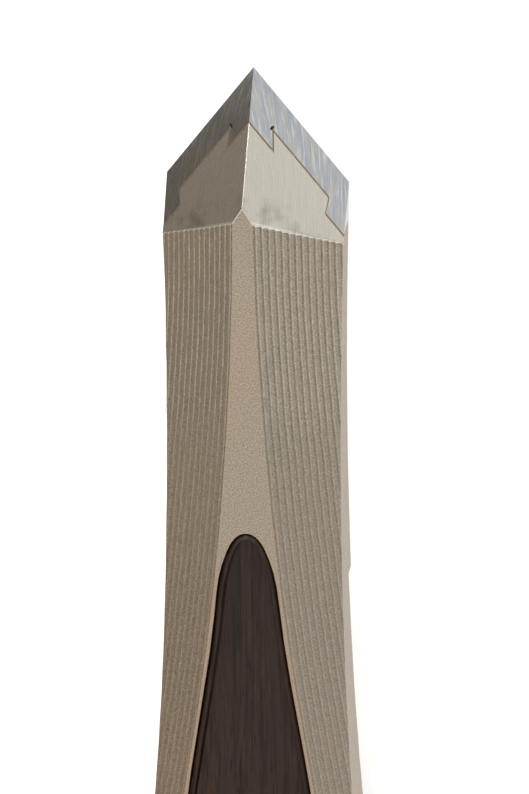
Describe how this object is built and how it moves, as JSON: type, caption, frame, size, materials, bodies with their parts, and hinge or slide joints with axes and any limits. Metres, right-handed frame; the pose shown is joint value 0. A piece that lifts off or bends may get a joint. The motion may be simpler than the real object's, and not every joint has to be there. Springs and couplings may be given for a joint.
{
  "type": "v parting tool",
  "caption": "V parting tool with a brazed tool-steel V cutter, a printed metal shank and handle frame, and dark wood scales let into both sides of the handle.",
  "frame": {"origin": "middle of the bounding box, on the plane that the flat back of the handle rests on", "axes": "+Y along the tool to the cutting tip, +Z to the keel side, +X to the right as seen from the keel side with the tip up"},
  "size_m": [0.0202, 0.145, 0.0136],
  "materials": {
    "printed_metal": "sintered bronze-infiltrated steel, fine layer ribs, sandy matte",
    "tool_steel": "hardened tool steel, ground, fine diagonal scratches",
    "braze": "thin darkened braze line",
    "dark_wood": "straight-grained dark hardwood, satin oil finish",
    "fibre": "black vulcanised fibre, matte",
    "bolt_steel": "turned, satin",
    "dowel_steel": "ground"
  },
  "bodies": {
    "root": {"frame": "printed_metal", "cutter": "tool_steel", "braze_seam": "braze", "keel_scale": "dark_wood", "back_scale": "dark_wood", "keel_liner": "fibre", "back_liner": "fibre", "scale_bolts": "bolt_steel", "barrel_nuts": "bolt_steel", "dowels": "dowel_steel"}
  },
  "joints": []
}
